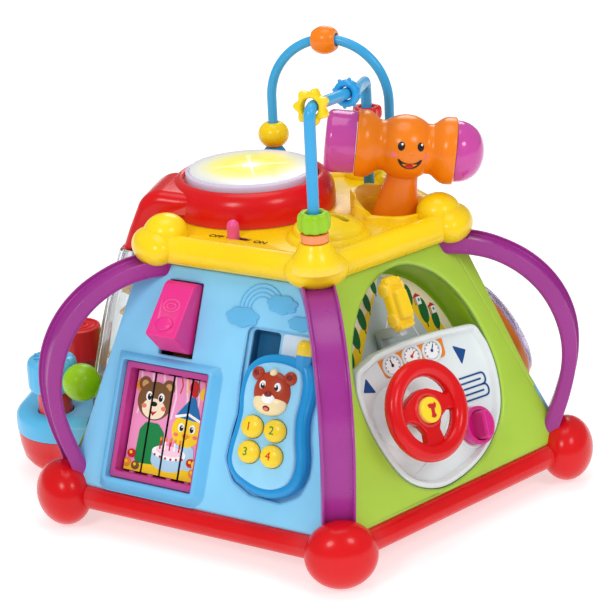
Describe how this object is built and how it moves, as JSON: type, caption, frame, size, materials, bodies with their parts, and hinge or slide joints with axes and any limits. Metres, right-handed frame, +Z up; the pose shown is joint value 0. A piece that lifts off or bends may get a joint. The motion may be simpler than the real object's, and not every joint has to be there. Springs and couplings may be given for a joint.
{
  "type": "baby activity cube",
  "caption": "Five-sided toddler activity cube with side panels, arched handles, a light-up drum, a toy hammer, bead wires, a toy phone and a driving panel.",
  "frame": {"origin": "centre of the pentagon, on the floor, under the central foot of the underside", "axes": "+Z up; -Y towards the front corner, between the phone panel (on the -X side) and the driving panel (on the +X side)"},
  "size_m": [0.3726, 0.3418, 0.2809],
  "materials": {
    "red_plastic": "gloss",
    "light_blue_plastic": "gloss",
    "mid_blue_plastic": "gloss",
    "green_plastic": "gloss",
    "yellow_plastic": "gloss",
    "purple_plastic": "gloss",
    "pink_plastic": "gloss",
    "orange_plastic": "gloss",
    "white_plastic": "gloss",
    "lime_plastic": "gloss",
    "violet_clear_plastic": "translucent gloss",
    "clear_plastic": "clear gloss",
    "picture_plastic": "printed gloss",
    "key_yellow_plastic": "gloss",
    "dark_plastic": "satin",
    "board_green": "satin"
  },
  "bodies": {
    "cube_body": {"base_frame": "red_plastic", "underside_cover": "red_plastic", "battery_door": "red_plastic", "battery_pack": "dark_plastic", "circuit_board": "board_green", "speaker": "dark_plastic", "top_deck": "yellow_plastic", "handle_front": "purple_plastic", "handle_left": "purple_plastic", "handle_right": "purple_plastic", "handle_back_left": "purple_plastic", "handle_back_right": "purple_plastic", "panel_phone": "light_blue_plastic", "panel_driving": "green_plastic", "panel_spinner": "light_blue_plastic", "panel_back": "yellow_plastic", "panel_track": "green_plastic", "shutter_frame": "pink_plastic", "dashboard": "white_plastic", "drum_housing": "red_plastic", "front_wire": "mid_blue_plastic", "rear_wire": "mid_blue_plastic", "wire_collar": "orange_plastic", "peg_tray": "red_plastic", "peg_deck": "light_blue_plastic", "track_cover": "clear_plastic"},
    "steering_wheel_body": {"steering_wheel": "red_plastic"},
    "horn_body": {"horn_button": "yellow_plastic"},
    "toy_car_body": {"toy_car": "yellow_plastic"},
    "ignition_body": {"ignition_key": "pink_plastic"},
    "rocker_body": {"rocker_button": "pink_plastic"},
    "slat_1_body": {"shutter_slat_1": "picture_plastic"},
    "slat_2_body": {"shutter_slat_2": "picture_plastic"},
    "slat_3_body": {"shutter_slat_3": "picture_plastic"},
    "slat_4_body": {"shutter_slat_4": "picture_plastic"},
    "phone": {"phone_body": "mid_blue_plastic", "phone_face": "light_blue_plastic", "phone_antenna": "yellow_plastic"},
    "key_1_body": {"phone_key_1": "key_yellow_plastic"},
    "key_2_body": {"phone_key_2": "key_yellow_plastic"},
    "key_3_body": {"phone_key_3": "key_yellow_plastic"},
    "key_4_body": {"phone_key_4": "key_yellow_plastic"},
    "drum_head_body": {"drum_head": "white_plastic"},
    "slider_body": {"power_slider": "pink_plastic"},
    "hammer": {"hammer_body": "orange_plastic", "hammer_cap": "violet_clear_plastic", "hammer_dome": "violet_clear_plastic"},
    "blue_peg_body": {"blue_peg": "light_blue_plastic"},
    "red_peg_body": {"red_peg": "red_plastic"},
    "green_ball_body": {"green_ball": "lime_plastic"},
    "spinner": {"spinner_wheel": "orange_plastic", "spinner_dome": "clear_plastic"},
    "knob_body": {"side_knob": "lime_plastic"},
    "flower_bead_body": {"flower_bead": "yellow_plastic"},
    "cog_bead_body": {"cog_bead": "mid_blue_plastic"},
    "red_bead_body": {"red_bead": "red_plastic"},
    "green_bead_body": {"green_bead": "lime_plastic"},
    "blue_bead_body": {"blue_bead": "mid_blue_plastic"},
    "yellow_bead_body": {"yellow_bead": "yellow_plastic"},
    "orange_bead_body": {"orange_bead": "orange_plastic"}
  },
  "joints": [
    {"name": "wheel_turn", "type": "hinge", "parent": "cube_body", "child": "steering_wheel_body", "pos_m": [0.05933, -0.12709, 0.08897], "axis": [0.5383, -0.7408, 0.4018], "range_deg": [-90, 90]},
    {"name": "horn_press", "type": "slide", "parent": "steering_wheel_body", "child": "horn_body", "axis": [0.5383, -0.7408, 0.4018], "range_m": [-0.0014, 0], "stiffness_N_per_m": 500},
    {"name": "car_swing", "type": "hinge", "parent": "cube_body", "child": "toy_car_body", "pos_m": [0.06441, -0.10056, 0.07136], "axis": [0.5383, -0.7408, 0.4018], "range_deg": [-14, 14]},
    {"name": "ignition_turn", "type": "hinge", "parent": "cube_body", "child": "ignition_body", "pos_m": [0.09614, -0.0852, 0.05716], "axis": [0.5383, -0.7408, 0.4018], "range_deg": [-60, 0]},
    {"name": "rocker_press", "type": "hinge", "parent": "cube_body", "child": "rocker_body", "pos_m": [-0.07414, -0.0459, 0.15165], "axis": [0.809, -0.5878, 0], "range_deg": [0, 11], "stiffness_Nm_per_rad": 0.6},
    {"name": "slat_1_turn", "type": "hinge", "parent": "cube_body", "child": "slat_1_body", "pos_m": [-0.11047, -0.05643, 0.06713], "axis": [0.2362, 0.3251, 0.9157], "range_deg": [0, 90]},
    {"name": "slat_2_turn", "type": "hinge", "parent": "cube_body", "child": "slat_2_body", "pos_m": [-0.09938, -0.06448, 0.06713], "axis": [0.2362, 0.3251, 0.9157], "range_deg": [0, 90]},
    {"name": "slat_3_turn", "type": "hinge", "parent": "cube_body", "child": "slat_3_body", "pos_m": [-0.0883, -0.07254, 0.06713], "axis": [0.2362, 0.3251, 0.9157], "range_deg": [0, 90]},
    {"name": "slat_4_turn", "type": "hinge", "parent": "cube_body", "child": "slat_4_body", "pos_m": [-0.07722, -0.08059, 0.06713], "axis": [0.2362, 0.3251, 0.9157], "range_deg": [0, 90]},
    {"name": "phone_lift", "type": "slide", "parent": "cube_body", "child": "phone", "axis": [-0.5383, -0.7408, 0.4018], "range_m": [0, 0.06]},
    {"name": "key_1_press", "type": "slide", "parent": "phone", "child": "key_1_body", "axis": [-0.5383, -0.7408, 0.4018], "range_m": [-0.0015, 0], "stiffness_N_per_m": 400},
    {"name": "key_2_press", "type": "slide", "parent": "phone", "child": "key_2_body", "axis": [-0.5383, -0.7408, 0.4018], "range_m": [-0.0015, 0], "stiffness_N_per_m": 400},
    {"name": "key_3_press", "type": "slide", "parent": "phone", "child": "key_3_body", "axis": [-0.5383, -0.7408, 0.4018], "range_m": [-0.0015, 0], "stiffness_N_per_m": 400},
    {"name": "key_4_press", "type": "slide", "parent": "phone", "child": "key_4_body", "axis": [-0.5383, -0.7408, 0.4018], "range_m": [-0.0015, 0], "stiffness_N_per_m": 400},
    {"name": "drum_press", "type": "slide", "parent": "cube_body", "child": "drum_head_body", "axis": [0, 0, 1], "range_m": [-0.002, 0], "stiffness_N_per_m": 3000},
    {"name": "power_switch", "type": "slide", "parent": "cube_body", "child": "slider_body", "axis": [0.809, -0.5878, 0], "range_m": [0, 0.008]},
    {"name": "hammer_lift", "type": "slide", "parent": "cube_body", "child": "hammer", "axis": [0.197, -0.0297, 0.98], "range_m": [0, 0.008]},
    {"name": "blue_peg_press", "type": "slide", "parent": "cube_body", "child": "blue_peg_body", "axis": [0, 0, 1], "range_m": [-0.013, 0], "stiffness_N_per_m": 300},
    {"name": "red_peg_press", "type": "slide", "parent": "cube_body", "child": "red_peg_body", "axis": [0, 0, 1], "range_m": [-0.013, 0], "stiffness_N_per_m": 300},
    {"name": "ball_push", "type": "slide", "parent": "cube_body", "child": "green_ball_body", "axis": [-0.8709, 0.283, 0.4018], "range_m": [-0.005, 0], "stiffness_N_per_m": 400},
    {"name": "spinner_spin", "type": "hinge", "parent": "cube_body", "child": "spinner", "pos_m": [0.123, 0.01683, 0.07703], "axis": [0.8709, 0.283, 0.4018], "continuous": true},
    {"name": "knob_turn", "type": "hinge", "parent": "cube_body", "child": "knob_body", "pos_m": [0.10346, 0.00417, 0.12831], "axis": [0.8709, 0.283, 0.4018], "range_deg": [-120, 120]},
    {"name": "flower_bead_slide", "type": "slide", "parent": "cube_body", "child": "flower_bead_body", "axis": [0.5079, 0.8562, -0.0943], "range_m": [0, 0.02]},
    {"name": "cog_bead_slide", "type": "slide", "parent": "cube_body", "child": "cog_bead_body", "axis": [0.5079, 0.8562, -0.0943], "range_m": [-0.014, 0]},
    {"name": "red_bead_slide", "type": "slide", "parent": "cube_body", "child": "red_bead_body", "axis": [0, 0, 1], "range_m": [-0.045, 0.003]},
    {"name": "green_bead_slide", "type": "slide", "parent": "cube_body", "child": "green_bead_body", "axis": [0, 0, 1], "range_m": [0, 0.045]},
    {"name": "blue_bead_slide", "type": "slide", "parent": "cube_body", "child": "blue_bead_body", "axis": [0, 0, 1], "range_m": [0, 0.015]},
    {"name": "yellow_bead_slide", "type": "slide", "parent": "cube_body", "child": "yellow_bead_body", "axis": [0, 0, 1], "range_m": [0, 0.015]},
    {"name": "orange_bead_slide", "type": "hinge", "parent": "cube_body", "child": "orange_bead_body", "pos_m": [0.0304, 0.0671, 0.232], "axis": [-0.4195, -0.9077, 0], "range_deg": [-50, 50]}
  ],
  "couplings": [
    {"joint": "car_swing", "follows": "wheel_turn", "ratio": 0.15},
    {"joint": "slat_1_turn", "follows": "rocker_press", "ratio": 8},
    {"joint": "slat_2_turn", "follows": "rocker_press", "ratio": 8},
    {"joint": "slat_3_turn", "follows": "rocker_press", "ratio": 8},
    {"joint": "slat_4_turn", "follows": "rocker_press", "ratio": 8},
    {"joint": "yellow_bead_slide", "follows": "blue_bead_slide", "ratio": 1}
  ]
}
